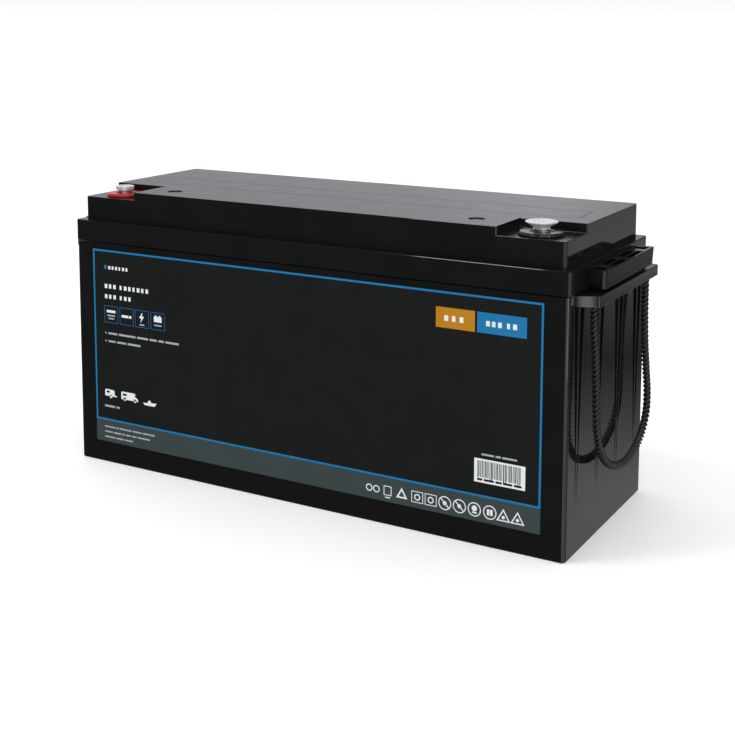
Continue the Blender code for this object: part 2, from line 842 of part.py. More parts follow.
def rope_handle(side):
    hand = "right" if side > 0 else "left"
    x = side * ROPE_X
    hinge_x = side * (ROPE_X + ROPE_RADIUS)
    knot = (
        (KNOT_RADIUS - KNOT_CHAMFER, KNOT_HIGH),
        (KNOT_RADIUS, KNOT_HIGH - KNOT_CHAMFER),
        (KNOT_RADIUS, KNOT_LOW),
        (ROPE_RADIUS, KNOT_LOW),
        (ROPE_RADIUS, FLANGE_LOW + GAP),
        (0.0, FLANGE_LOW + GAP),
        (0.0, KNOT_HIGH),
    )
    for where, y in (("front", -ROPE_Y), ("rear", ROPE_Y)):
        smooth(turned(f"{hand}_rope_{where}_knot", knot, ROPE, (x, y, 0.0), FEW), 50)
        link = bmesh.new()
        low, high = LINK_TOP - LINK_LENGTH, LINK_TOP
        rod_into(link, ROPE_RADIUS, low, high, (x, y, (low + high) / 2), FEW)
        name = f"{hand}_rope_{where}_link"
        piece = place(name, mesh_from(link, name), ROPE)
        smooth(piece)
        move_origin(piece, (hinge_x, 0.0, LINK_TOP))
    loop = rope_loop(f"{hand}_rope_loop", x)
    smooth(loop, 60)
    move_origin(loop, (hinge_x, 0.0, LINK_TOP - LINK_LENGTH))


def rope_loop(name, x):
    """The hanging part of the rope, a round cord that stands off the wall towards its bight."""
    curve = bpy.data.curves.new(name, "CURVE")
    curve.dimensions = "3D"
    curve.bevel_depth = ROPE_RADIUS
    curve.bevel_resolution = 1
    curve.use_fill_caps = True
    start = LINK_TOP - LINK_LENGTH - GAP
    straight = start - LOOP_STRAIGHT
    lowest = LOOP_HANG[-1][1]
    front = [(-ROPE_Y, start), (-ROPE_Y, straight)] + [(-y, z) for y, z in LOOP_HANG]
    rear = [(-y, z) for y, z in front[:-1]]
    line = front + rear[::-1]
    spline = curve.splines.new("POLY")
    spline.points.add(len(line) - 1)
    for point, (y, z) in zip(spline.points, line):
        drop = max(0.0, (straight - z) / (straight - lowest))
        outward = math.copysign(LOOP_SWING * drop, x)
        point.co = (x + outward, y + LOOP_LEAN * drop**2, z, 1.0)
    return solid_from_curve(name, curve, ROPE)


def build():
    container()
    cover()
    vent_parts()
    for cell in range(CELLS):
        plate_group(cell, True)
        plate_group(cell, False)
        glass_mat(cell)
    for cell in range(CELLS - 1):
        intercell_weld(cell)
    for side in (-1, 1):
        terminal(side)
        rope_handle(side)
    front_label()


build()
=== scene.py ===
"""Looks for the deep cycle battery: finished shells, label artwork, terminals and twisted rope handles.

Metres, +Z up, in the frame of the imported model. The origin is the middle of the base, +X runs to
the negative terminal, and the labelled side faces -Y.
"""

import math

import bmesh
import bpy
from mathutils import Matrix, Vector


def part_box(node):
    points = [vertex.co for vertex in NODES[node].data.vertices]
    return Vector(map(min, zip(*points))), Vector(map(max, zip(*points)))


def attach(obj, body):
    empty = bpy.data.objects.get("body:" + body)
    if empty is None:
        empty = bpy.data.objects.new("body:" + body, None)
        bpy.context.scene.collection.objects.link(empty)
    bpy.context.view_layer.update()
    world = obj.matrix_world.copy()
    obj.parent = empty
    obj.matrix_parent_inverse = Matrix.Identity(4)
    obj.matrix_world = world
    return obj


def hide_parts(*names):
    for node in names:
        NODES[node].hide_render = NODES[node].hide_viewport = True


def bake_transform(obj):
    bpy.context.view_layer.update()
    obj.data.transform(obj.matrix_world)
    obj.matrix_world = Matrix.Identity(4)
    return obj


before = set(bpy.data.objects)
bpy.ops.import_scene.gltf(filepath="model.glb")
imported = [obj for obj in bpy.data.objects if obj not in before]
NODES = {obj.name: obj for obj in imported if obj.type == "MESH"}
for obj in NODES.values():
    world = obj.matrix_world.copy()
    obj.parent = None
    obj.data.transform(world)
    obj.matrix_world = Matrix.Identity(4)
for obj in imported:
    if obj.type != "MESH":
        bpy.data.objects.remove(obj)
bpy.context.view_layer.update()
CASE_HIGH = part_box("cover")[1]
BODY_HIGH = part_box("container")[1]
MM = 0.001
TURN = 2 * math.pi


# ---------------------------------------------------------------- materials


class Nodes:
    """A node material that is built up one texture at a time, in the object's own metres."""

    def __init__(self, name):
        self.material = bpy.data.materials.new(name)
        self.material.use_nodes = True
        self.tree = self.material.node_tree
        self.shader = self.tree.nodes["Principled BSDF"]
        self.where = self.tree.nodes.new("ShaderNodeTexCoord").outputs["Object"]

    def link(self, source, target):
        self.tree.links.new(source, target)

    def set(self, **values):
        for name, value in values.items():
            if isinstance(value, tuple):
                value = (*value, 1.0)
            self.shader.inputs[name.replace("_", " ")].default_value = value

    def noise(self, size, detail=2.0, stretch=(1.0, 1.0, 1.0)):
        """Noise whose features are about this many metres across."""
        grow = self.tree.nodes.new("ShaderNodeVectorMath")
        grow.operation = "MULTIPLY"
        grow.inputs[1].default_value = stretch
        self.link(self.where, grow.inputs[0])
        texture = self.tree.nodes.new("ShaderNodeTexNoise")
        texture.inputs["Scale"].default_value = 1 / size
        texture.inputs["Detail"].default_value = detail
        self.link(grow.outputs[0], texture.inputs["Vector"])
        return texture.outputs["Fac"]

    def spread(self, source, low, high, start=0.3, end=0.7):
        """Maps the source from start..end to low..high."""
        ramp = self.tree.nodes.new("ShaderNodeMapRange")
        for name, value in (
            ("From Min", start),
            ("From Max", end),
            ("To Min", low),
            ("To Max", high),
        ):
            ramp.inputs[name].default_value = value
        self.link(source, ramp.inputs["Value"])
        return ramp.outputs["Result"]

    def mix(self, factor, first, second):
        """A colour between two, each of them a colour or another output."""
        blend = self.tree.nodes.new("ShaderNodeMix")
        blend.data_type = "RGBA"
        self.link(factor, blend.inputs["Factor"])
        for socket, colour in ((blend.inputs[6], first), (blend.inputs[7], second)):
            if isinstance(colour, tuple):
                socket.default_value = (*colour, 1.0)
            else:
                self.link(colour, socket)
        return blend.outputs[2]

    def add(self, first, second):
        total = self.tree.nodes.new("ShaderNodeMath")
        total.operation = "ADD"
        self.link(first, total.inputs[0])
        self.link(second, total.inputs[1])
        return total.outputs[0]

    def colour(self, source):
        self.link(source, self.shader.inputs["Base Color"])

    def roughness(self, source):
        self.link(source, self.shader.inputs["Roughness"])

    def bump(self, height, depth, strength=1.0):
        """Adds relief of about this many metres. Each call builds on the one before."""
        relief = self.tree.nodes.new("ShaderNodeBump")
        relief.inputs["Distance"].default_value = depth
        relief.inputs["Strength"].default_value = strength
        self.link(height, relief.inputs["Height"])
        normal = self.shader.inputs["Normal"]
        if normal.is_linked:
            self.link(normal.links[0].from_socket, relief.inputs["Normal"])
        self.link(relief.outputs["Normal"], normal)


def moulded_black():
    """Glossy black ABS: near-mirror walls with a slow ripple, and a softer, marked deck."""
    look = Nodes("case_black_abs")
    look.set(IOR=1.52)
    look.colour(look.mix(look.noise(0.03), (0.005, 0.0055, 0.005), (0.0085, 0.0093, 0.0085)))
    facing = look.tree.nodes.new("ShaderNodeNewGeometry")
    split = look.tree.nodes.new("ShaderNodeSeparateXYZ")
    look.link(facing.outputs["Normal"], split.inputs[0])
    upward = look.spread(split.outputs["Z"], 0.0, 0.16, 0.75, 1.0)
    marks = look.spread(look.noise(0.02, 5.0, (1.0, 1.0, 0.5)), 0.035, 0.08, 0.42, 0.8)
    look.roughness(look.add(upward, marks))
    look.bump(look.noise(0.055, 1.0), 0.0002, 0.2)
    look.bump(look.noise(0.0009, 3.0), 0.000002, 0.25)
    return look.material


def plain(name, low, high, rough, size=0.01, relief=0.00004, metallic=0.0, **more):
    """A solid colour with mottling, uneven roughness and a little relief."""
    look = Nodes(name)
    look.set(Metallic=metallic, **more)
    look.colour(look.mix(look.spread(look.noise(size, 4.0), 0.0, 1.0), low, high))
    look.roughness(look.spread(look.noise(size / 3, 5.0), *rough))
    look.bump(look.noise(size / 5, 4.0), relief, 0.5)
    return look.material


def turned_steel():
    """Zinc-bright steel with fine turning marks round its axis."""
    look = Nodes("turned_steel")
    look.set(Metallic=0.5)
    look.colour(look.mix(look.noise(0.003, 3.0), (0.78, 0.78, 0.77), (0.92, 0.92, 0.91)))
    look.roughness(look.spread(look.noise(0.0015, 5.0, (1.0, 1.0, 6.0)), 0.18, 0.34))
    look.bump(look.noise(0.0004, 2.0, (1.0, 1.0, 8.0)), 0.00001, 0.35)
    return look.material


def rope_fibre():
    """Black nylon yarn: fine stripes along each strand, with painted light making its crown greyer and
    painted shade making the valleys between strands near-black.
    """
    look = Nodes("black_rope_fibre")
    look.set(Sheen_Weight=0.02, Sheen_Roughness=0.4, Specular_IOR_Level=0.6)
    yarn = look.tree.nodes.new("ShaderNodeTexWave")
    yarn.inputs["Scale"].default_value = 1.0
    yarn.inputs["Distortion"].default_value = 1.5
    yarn.inputs["Detail"].default_value = 2.0
    along = look.tree.nodes.new("ShaderNodeUVMap")
    along.uv_map = "strand"
    look.link(along.outputs["UV"], yarn.inputs["Vector"])
    crown = look.tree.nodes.new("ShaderNodeAttribute")
    crown.attribute_name = "crown"
    # The yarn stripes are the fibre's own tone; the greyer crowns are painted highlight and the
    # near-black valleys are painted shade.
    lit_crest_yarn = look.mix(yarn.outputs["Fac"], (0.010, 0.010, 0.010), (0.026, 0.026, 0.025))
    share = look.spread(crown.outputs["Fac"], 0.0, 1.0, 0.6, 1.0)
    look.colour(look.mix(share, (0.001, 0.001, 0.001), lit_crest_yarn))
    look.roughness(look.spread(look.noise(0.002, 3.0), 0.26, 0.4))
    look.bump(yarn.outputs["Fac"], 0.00009, 0.5)
    look.bump(look.noise(0.0006, 3.0), 0.00006, 0.5)
    return look.material


CASE = moulded_black()
FILM = plain(
    "label_film_black", (0.009, 0.011, 0.010), (0.011, 0.013, 0.012), (0.16, 0.24), 0.02, 0.00001
)


def ink(name, low, high):
    """Flat print that keeps its colour under a bright room."""
    return plain("ink_" + name, low, high, (0.3, 0.4), 0.02, 0.000005, Specular_IOR_Level=0.06)


BAND_GREY = ink("grey", (0.040, 0.054, 0.054), (0.044, 0.058, 0.058))
INK_BLUE = ink("blue", (0.012, 0.150, 0.33), (0.014, 0.16, 0.35))
INK_BLUE_DARK = ink("blue_dark", (0.016, 0.10, 0.28), (0.020, 0.12, 0.32))
INK_ORANGE = ink("orange", (0.40, 0.175, 0.010), (0.43, 0.19, 0.012))
INK_WHITE = ink("white", (0.66, 0.68, 0.68), (0.72, 0.74, 0.74))
INK_PALE = ink("pale", (0.30, 0.32, 0.33), (0.36, 0.38, 0.39))
STEEL = turned_steel()
SEAL_RED = plain("seal_red", (0.42, 0.012, 0.014), (0.50, 0.018, 0.018), (0.08, 0.2), 0.006, 0.00003)
SEAL_BLACK = plain(
    "seal_black", (0.012, 0.012, 0.012), (0.02, 0.02, 0.02), (0.06, 0.16), 0.006, 0.00003
)
BRASS = plain("tinned_brass", (0.66, 0.63, 0.55), (0.75, 0.72, 0.64), (0.2, 0.4), 0.003, 0.00002, 1.0)
LEAD = plain("cast_lead", (0.20, 0.21, 0.23), (0.33, 0.34, 0.36), (0.4, 0.65), 0.006, 0.0002, 0.9)
PASTE_BROWN = plain(
    "positive_paste", (0.070, 0.030, 0.018), (0.12, 0.055, 0.03), (0.8, 0.95), 0.004, 0.0003
)
PASTE_GREY = plain("negative_paste", (0.16, 0.17, 0.18), (0.25, 0.26, 0.27), (0.7, 0.9), 0.004, 0.0003)
MAT_WHITE = plain(
    "glass_mat_fibre", (0.74, 0.74, 0.71), (0.86, 0.86, 0.83), (0.85, 1.0), 0.0015, 0.0002
)
RUBBER = plain(
    "valve_rubber", (0.012, 0.012, 0.012), (0.022, 0.022, 0.022), (0.6, 0.85), 0.003, 0.00006
)
ROPE = rope_fibre()


def dress(node, look):
    """Gives a CAD node that stays its finished material."""
    materials = NODES[node].data.materials
    materials.clear()
    materials.append(look)


# ---------------------------------------------------------------- mesh helpers


def piece(name, bm, looks, body="root", replaces=(), sharp=35):
    """Adds the mesh as one piece that rides on a body and stands for these CAD nodes.

    Edges that turn by more than the sharp angle stay creased. With None the mesh keeps its own shading.
    """
    mesh = bpy.data.meshes.new(name)
    bmesh.ops.recalc_face_normals(bm, faces=bm.faces)
    bm.to_mesh(mesh)
    bm.free()
    if sharp:
        mesh.shade_smooth()
        mesh.set_sharp_from_angle(angle=math.radians(sharp))
    for look in looks if isinstance(looks, (list, tuple)) else [looks]:
        mesh.materials.append(look)
    made = bpy.data.objects.new(name, mesh)
    bpy.context.scene.collection.objects.link(made)
    if body:
        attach(made, body)
    if replaces:
        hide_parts(*replaces)
    return made


def even_normals(made):
    """Keeps flat faces flat in a reflection, with the turn only in the rounded edges."""
    modifier = made.modifiers.new("Even normals", "WEIGHTED_NORMAL")
    modifier.mode = "FACE_AREA"
    modifier.weight = 100
    modifier.keep_sharp = True


def circle(x, y, radius, steps=32):
    return [
        (x + radius * math.cos(TURN * i / steps), y + radius * math.sin(TURN * i / steps))
        for i in range(steps)
    ]


def lathe(bm, profile, centre, steps=64, closed=True):
    """Turns a (radius, z) profile about a vertical axis."""
    rings = []
    for radius, z in profile:
        if radius < 1e-9:
            rings.append([bm.verts.new((centre[0], centre[1], z))])
            continue
        ring = []
        for step in range(steps):
            angle = TURN * step / steps
            x = centre[0] + radius * math.cos(angle)
            y = centre[1] + radius * math.sin(angle)
            ring.append(bm.verts.new((x, y, z)))
        rings.append(ring)
    pairs = list(zip(rings, rings[1:]))
    if closed:
        pairs.append((rings[-1], rings[0]))
    for first, second in pairs:
        if len(first) == 1 and len(second) == 1:
            continue
        for step in range(steps):
            after = (step + 1) % steps
            if len(first) == 1:
                bm.faces.new((first[0], second[after], second[step]))
            elif len(second) == 1:
                bm.faces.new((first[step], first[after], second[0]))
            else:
                bm.faces.new((first[step], first[after], second[after], second[step]))


def softened(profile, radius, steps=3):
    """The profile with each inner corner replaced by a short arc-like run of points."""
    soft = []
    for i, point in enumerate(profile):
        here = Vector(point)
        before = Vector(profile[i - 1])
        after = Vector(profile[(i + 1) % len(profile)])
        if here.x < 1e-9:
            soft.append(tuple(here))
            continue
        reach_in = min(radius, (before - here).length * 0.45)
        reach_out = min(radius, (after - here).length * 0.45)
        start = here + (before - here).normalized() * reach_in
        end = here + (after - here).normalized() * reach_out
        for step in range(steps + 1):
            t = step / steps
            soft.append(tuple((1 - t) ** 2 * start + 2 * t * (1 - t) * here + t**2 * end))
    return soft


# ---------------------------------------------------------------- moulded shells

EDGE_LARGEST = 1.4 * MM
CREASE = math.radians(28)
FACET_LARGEST = 2e-4  # square metres: curved walls are made of facets smaller than this


def moulded(name, node, edge_radius):
    """A moulding with the CAD shell's shape, its faces made whole and its edges rounded.

    Only the facets of curved walls are shaded smooth, so that the flat walls reflect as flat.
    """
    bm = bmesh.new()
    bm.from_mesh(NODES[node].data)
    bmesh.ops.remove_doubles(bm, verts=bm.verts, dist=1e-6)
    bmesh.ops.dissolve_limit(
        bm, angle_limit=math.radians(0.5), verts=bm.verts, edges=bm.edges, delimit=set()
    )
    weight = bm.edges.layers.float.new("bevel_weight_edge")
    for face in bm.faces:
        curved = any(math.radians(1) < edge.calc_face_angle(0.0) < CREASE for edge in face.edges)
        face.smooth = curved and face.calc_area() < FACET_LARGEST
    for edge in bm.edges:
        if edge.calc_face_angle(0.0) > CREASE:
            a, b = (vert.co for vert in edge.verts)
            edge[weight] = edge_radius((a + b) / 2) / EDGE_LARGEST
            edge.smooth = False
    made = piece(name, bm, CASE, replaces=(node,), sharp=None)
    bevel = made.modifiers.new("Rounded edges", "BEVEL")
    bevel.limit_method = "WEIGHT"
    bevel.width = EDGE_LARGEST
    bevel.segments = 6
    bevel.use_clamp_overlap = False


def cover_edge(middle):
    """How far each edge of the cover is rounded."""
    outside = abs(middle.y) > CASE_HIGH.y - 1 * MM or abs(middle.x) > 226 * MM
    if abs(middle.z - 213.3 * MM) < 0.1 * MM and outside and abs(middle.x) < 228 * MM:
        return 0.7 * MM
    if abs(middle.x) > 227.5 * MM:
        return 0.45 * MM if middle.z > 190 * MM else 0.0
    if middle.z > 238.5 * MM and abs(middle.y) > 25 * MM:
        return 0.5 * MM if abs(middle.z - 240 * MM) < 0.1 * MM else 0.0
    if 235 * MM < middle.z < 238 * MM and abs(middle.y) > 35 * MM:
        return 1.2 * MM
    if middle.z > 232 * MM and abs(middle.y) > 35 * MM and abs(middle.x) > 166 * MM:
        return 0.4 * MM
    return 0.0


moulded("cover_shell", "cover", cover_edge)

# Container: the walls are one run of rings, with a pair of channels at each groove of an end wall
GROOVES = [(i - 1.5) * 43.4 * MM for i in range(4)]
RIB_HALF = 1.2 * MM
GROOVE_TIP = 41 * MM
FLANGE_LOW, FLANGE_HIGH = 186 * MM, 194.4 * MM
BODY_HALF = (226.5 * MM, 85.4 * MM)
CAVITY_HALF = (218.5 * MM, 81.4 * MM)
CAVITY_FLOOR = 5 * MM
PARTITION = 3.2 * MM
SUNK = 1 * MM  # how far a partition reaches into the walls and floor
SEAM = 0.6 * MM  # how far the walls stop short, so that the joint under the cover shows
WALL_CORNER = 3.5 * MM
ROPE_HOLES = (235 * MM, 58.5 * MM)


def across_end_wall(z):
    """(y, depth) points across an end wall at this height, in rising order."""
    share = (z - GROOVE_TIP) / (FLANGE_LOW - GROOVE_TIP)
    cut = 0.0 <= share <= 1.01
    share = min(1.0, max(0.0, share))
    depth = (0.8 + 3.7 * share) * MM if cut else 0.0
    width = (0.5 + 8.8 * share) * MM
    ease = min(0.25 * MM, width / 6)
    lip = min(depth, 0.2 * MM)
    half = (
        (RIB_HALF - ease, 0.0),
        (RIB_HALF, lip),
        (RIB_HALF + ease, depth),
        (RIB_HALF + width - ease, depth),
        (RIB_HALF + width, lip),
        (RIB_HALF + width + ease, 0.0),
    )
    points = []
    for middle in GROOVES:
        points += [(middle - reach, down) for reach, down in half[::-1]]
        points += [(middle + reach, down) for reach, down in half]
    return points


def wall_ring(z, inset):
    """The container's outline at this height as (x, y) points, drawn in by the inset."""
    half_x, half_y = BODY_HALF[0] - inset, BODY_HALF[1] - inset
    radius = WALL_CORNER - inset
    across = across_end_wall(z)
    ring = [(half_x - depth, y) for y, depth in across]
    for quarter, (sx, sy) in enumerate(((1, 1), (-1, 1), (-1, -1), (1, -1))):
        if quarter == 2:
            ring += [(depth - half_x, y) for y, depth in across[::-1]]
        for step in range(7):
            angle = math.pi / 2 * (quarter + step / 6)
            x = sx * (half_x - radius) + radius * math.cos(angle)
            ring.append((x, sy * (half_y - radius) + radius * math.sin(angle)))
    return ring


def drawn_in(outline, inset):
    """The outline with each of its sides moved inwards. It runs anticlockwise."""
    moved = []
    for i, point in enumerate(outline):
        here = Vector(point)
        back = (here - Vector(outline[i - 1])).normalized()
        ahead = (Vector(outline[(i + 1) % len(outline)]) - here).normalized()
        inward = Vector((-back.y - ahead.y, back.x + ahead.x)) / (1 + back.dot(ahead))
        moved.append(tuple(here + inward * inset))
    return moved


def eased_plate(bm, outline, sockets, low, high, ease):
    """An upright plate with its outer rims rounded, and with turned sockets in its underside.

    A socket is its middle and a (radius, z) profile that starts on the underside.
    """
    turns = [math.pi / 2 * step / 3 for step in range(4)]
    levels = [(low + ease * (1 - math.sin(a)), ease * (1 - math.cos(a))) for a in turns[::-1]]
    levels += [(low + high - z, inset) for z, inset in levels[::-1]]
    columns = [[(drawn_in(outline, inset), z) for z, inset in levels]]
    for middle, profile in sockets:
        columns.append([(circle(*middle, radius), z) for radius, z in profile])
    underside = []
    for column in columns:
        rings = [[bm.verts.new((x, y, z)) for x, y in ring] for ring, z in column]
        for first, second in zip(rings, rings[1:]):
            for i in range(len(first)):
                j = (i + 1) % len(first)
                bm.faces.new((first[i], first[j], second[j], second[i]))
        bm.faces.new(rings[-1])
        underside += [bm.edges.get((rings[0][i - 1], rings[0][i])) for i in range(len(rings[0]))]
    bmesh.ops.triangle_fill(bm, edges=underside, use_beauty=True)


def flange(bm, side):
    """The flange on one end: rounded at its corners, with a stepped socket for each rope end."""
    outline = [(220 * MM, -73.5 * MM), (226.5 * MM, -73.5 * MM)]
    for sign in (-1, 1):
        arc = []
        for step in range(7):
            angle = math.radians(70) * step / 6
            x = 240.5 * MM + 2 * MM * math.cos(angle)
            arc.append((x, sign * (65.5 * MM + 2 * MM * math.sin(angle))))
        outline += arc[::-1] if sign < 0 else arc
    outline += [(226.5 * MM, 73.5 * MM), (220 * MM, 73.5 * MM)]
    if side < 0:
        outline = [(-x, y) for x, y in outline[::-1]]
    x, y = ROPE_HOLES
    step, ceiling = FLANGE_LOW + 2.5 * MM, FLANGE_HIGH - 1.4 * MM
    profile = ((3.5 * MM, FLANGE_LOW), (3.5 * MM, step), (4.5 * MM, step), (4.5 * MM, ceiling))
    sockets = [((side * x, hand * y), profile) for hand in (-1, 1)]
    eased_plate(bm, outline, sockets, FLANGE_LOW, FLANGE_HIGH, 0.5 * MM)


def container_shell():
    """Walls, floor and partitions of the box, and the flange on each end."""
    top = BODY_HIGH.z - SEAM
    levels = [(0.0, 1.2), (0.15, 0.65), (0.6, 0.17), (1.2, 0.0)]
    levels = [(z * MM, inset * MM) for z, inset in levels]
    for z in (GROOVE_TIP - 0.3 * MM, GROOVE_TIP, FLANGE_LOW + 1 * MM, FLANGE_LOW + 2 * MM, top):
        levels.append((z, 0.0))
    bm = bmesh.new()
    rings = [[bm.verts.new((x, y, z)) for x, y in wall_ring(z, inset)] for z, inset in levels]
    for z in (top, CAVITY_FLOOR):
        ring = []
        for x, y in wall_ring(top, 0.0):
            x = max(-CAVITY_HALF[0], min(CAVITY_HALF[0], x))
            ring.append(bm.verts.new((x, max(-CAVITY_HALF[1], min(CAVITY_HALF[1], y)), z)))
        rings.append(ring)
    for first, second in zip(rings, rings[1:]):
        for i in range(len(first)):
            j = (i + 1) % len(first)
            bm.faces.new((first[i], first[j], second[j], second[i]))
    bm.faces.new(rings[0])
    bm.faces.new(rings[-1])
    bmesh.ops.remove_doubles(bm, verts=bm.verts, dist=1e-6)
    pitch = (2 * CAVITY_HALF[0] + PARTITION) / 6
    rise = top - CAVITY_FLOOR + SUNK
    for cell in range(1, 6):
        x = -CAVITY_HALF[0] - PARTITION / 2 + pitch * cell
        size = Matrix.Diagonal((PARTITION, 2 * CAVITY_HALF[1] + SUNK, rise, 1.0))
        middle = Matrix.Translation((x, 0.0, top - rise / 2))
        bmesh.ops.create_cube(bm, size=1.0, matrix=middle @ size)
    flange(bm, 1)
    flange(bm, -1)
    made = piece("container_shell", bm, CASE, replaces=("container",), sharp=40)
    even_normals(made)


container_shell()


def vent_plate():
    """The flush plate over the valves, with an eased rim."""
    low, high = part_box("vent_cover_plate")
    bm = bmesh.new()
    corner = 3 * MM
    steps = 8
    for z, inset in ((low.z, 0.0), (high.z - 0.35 * MM, 0.0), (high.z, 0.35 * MM)):
        ring = []
        for quarter, (sx, sy) in enumerate(((1, 1), (-1, 1), (-1, -1), (1, -1))):
            for step in range(steps + 1):
                angle = math.pi / 2 * (quarter + step / steps)
                x = sx * (high.x - corner) + (corner - inset) * math.cos(angle)
                y = sy * (high.y - corner) + (corner - inset) * math.sin(angle)
                ring.append(bm.verts.new((x, y, z)))
        if z == low.z:
            bm.faces.new(ring)
        else:
            for i, vert in enumerate(ring):
                j = (i + 1) % len(ring)
                bm.faces.new((below[i], below[j], ring[j], vert))
        below = ring
    bm.faces.new(below)
    made = piece("vent_plate_moulding", bm, CASE, replaces=("vent_cover_plate",))
    even_normals(made)


vent_plate()

# ---------------------------------------------------------------- label

LABEL_LOW, LABEL_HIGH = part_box("front_label")
INK_SINK = 0.05 * MM
INK_PROUD = 0.06 * MM


def print_plate(bm, outline, hole=None, level=0):
    """A thin plate of ink over an outline of (x, z) points in millimetres, with an optional hole."""
    front = LABEL_LOW.y - INK_PROUD * (1 + level)
    back = LABEL_LOW.y + INK_SINK
    loops = []
    for points in (outline, hole):
        if points is None:
            continue
        near = [bm.verts.new((x * MM, front, z * MM)) for x, z in points]
        far = [bm.verts.new((x * MM, back, z * MM)) for x, z in points]
        loops.append((near, far))
        for i in range(len(near)):
            j = (i + 1) % len(near)
            bm.faces.new((near[i], near[j], far[j], far[i]))
    if hole is None:
        near, far = loops[0]
        bm.faces.new(near)
        bm.faces.new(far)
        return
    for side in (0, 1):
        outer, inner = loops[0][side], loops[1][side]
        for i in range(len(outer)):
            j = (i + 1) % len(outer)
            bm.faces.new((outer[i], outer[j], inner[j], inner[i]))


def rectangle(x0, x1, z0, z1, inset=0.0):
    return [
        (x0 + inset, z0 + inset),
        (x1 - inset, z0 + inset),
        (x1 - inset, z1 - inset),
        (x0 + inset, z1 - inset),
    ]


def triangle(x, z, reach):
    """An upright equal-sided triangle whose corners are this far from its middle."""
    return [
        (x + reach * math.cos(math.radians(a)), z + reach * math.sin(math.radians(a)))
        for a in (90, 210, 330)
    ]


def shifted(outline, x, z, scale=1.0):
    return [(x + scale * px, z + scale * pz) for px, pz in outline]


def bars(bm, x, z, height, widths, gap, level=0):
    """A row of plain bars that stands for a line of words."""
    for width in widths:
        print_plate(bm, rectangle(x, x + width, z, z + height), level=level)
        x += width + gap


# Widths of the blocks that stand for letters, as shares of the line's height
BLOCKS = (0.62, 0.54, 0.60, 0.46, 0.62, 0.56, 0.50)


def words(bm, x, z, height, counts, pitch, level=0):
    """A row of small plain blocks, spaced like the letters of words."""
    index = 0
    for count in counts:
        for step in range(index, index + count):
            width = min(BLOCKS[step % len(BLOCKS)] * height, pitch * 0.8)
            print_plate(bm, rectangle(x, x + width, z, z + 0.8 * height), level=level)
            x += pitch
        index += count
        x += pitch * 0.5


def small_print(bm, x, z, height, counts, pitch, level=0):
    """A line of plain bars, one for each word of this many letters."""
    bars(bm, x, z, 0.75 * height, [(count - 0.3) * pitch for count in counts], 0.8 * pitch, level)


class Inks:
    """One mesh for each ink on the label."""

    def __init__(self):
        self.meshes = {}

    def __getitem__(self, name):
        return self.meshes.setdefault(name, bmesh.new())


def label():
    film = bmesh.new()
    back = LABEL_HIGH.y
    corner = 1.2 * MM
    outline = []
    for quarter, (sx, top) in enumerate(((1, 1), (-1, 1), (-1, 0), (1, 0))):
        for step in range(5):
            angle = math.pi / 2 * (quarter + step / 4)
            x = sx * (LABEL_HIGH.x - corner) + corner * math.cos(angle)
            z = LABEL_HIGH.z - corner if top else LABEL_LOW.z + corner
            outline.append((x, z + corner * math.sin(angle)))
    near = [film.verts.new((x, LABEL_LOW.y, z)) for x, z in outline]
    far = [film.verts.new((x, back, z)) for x, z in outline]
    film.faces.new(near)
    film.faces.new(far)
    for i in range(len(near)):
        j = (i + 1) % len(near)
        film.faces.new((near[i], near[j], far[j], far[i]))
    piece("label_film", film, FILM, replaces=("front_label",))

    inks = Inks()
    # Blue frame, with the grey strip below it
    left, right, line = -208, 207.7, 1.6
    frame_edges = (left, right, 38, 189.3)
    print_plate(inks["blue"], rectangle(*frame_edges), rectangle(*frame_edges, line))
    print_plate(inks["grey"], rectangle(left, right, 18.8, 37.9))
    # Heading: a small lozenge and plain blocks
    print_plate(inks["blue"], shifted(((0, -2.2), (1.8, 0), (0, 2.2), (-1.8, 0)), -194.4, 174.4))
    words(inks["white"], -191.2, 172.6, 3.6, (6,), 3.8)
    words(inks["white"], -195.6, 155.8, 4.6, (3, 7), 4.7)
    words(inks["white"], -195.6, 146.9, 4.4, (3, 3), 4.7)
    label_tiles(inks)
    for z, counts in ((115.4, (5, 9, 6, 4, 3, 7)), (108.4, (4, 5, 7))):
        print_plate(inks["pale"], circle(-195.4, z + 0.9, 0.8, 12))
        small_print(inks["pale"], -192.6, z, 2.3, counts, 2.1)
    label_vehicles(inks)
    small_print(inks["pale"], -198.4, 50.2, 2.4, (6, 2), 2.0)
    for z, counts in ((31.8, (8, 2, 9, 7, 9)), (27.2, (6, 6, 2, 4, 4, 9)), (22.6, (8, 6, 6))):
        small_print(inks["pale"], -198.9, z, 1.7, counts, 1.5, level=1)
    # Rating badges
    print_plate(inks["orange"], rectangle(122.6, 154.3, 161.8, 177.3))
    print_plate(inks["blue"], rectangle(156.1, 195.0, 161.8, 177.2))
    words(inks["white"], 129.6, 167.2, 5.2, (3,), 6.2, level=1)
    words(inks["white"], 163.2, 167.2, 5.0, (3, 2), 4.7, level=1)
    label_stripes(inks)
    label_symbols(inks)
    looks = {
        "blue": INK_BLUE,
        "dark": INK_BLUE_DARK,
        "grey": BAND_GREY,
        "white": INK_WHITE,
        "pale": INK_PALE,
        "orange": INK_ORANGE,
        "black": FILM,
    }
    for name, bm in inks.meshes.items():
        piece(f"label_print_{name}", bm, looks[name])


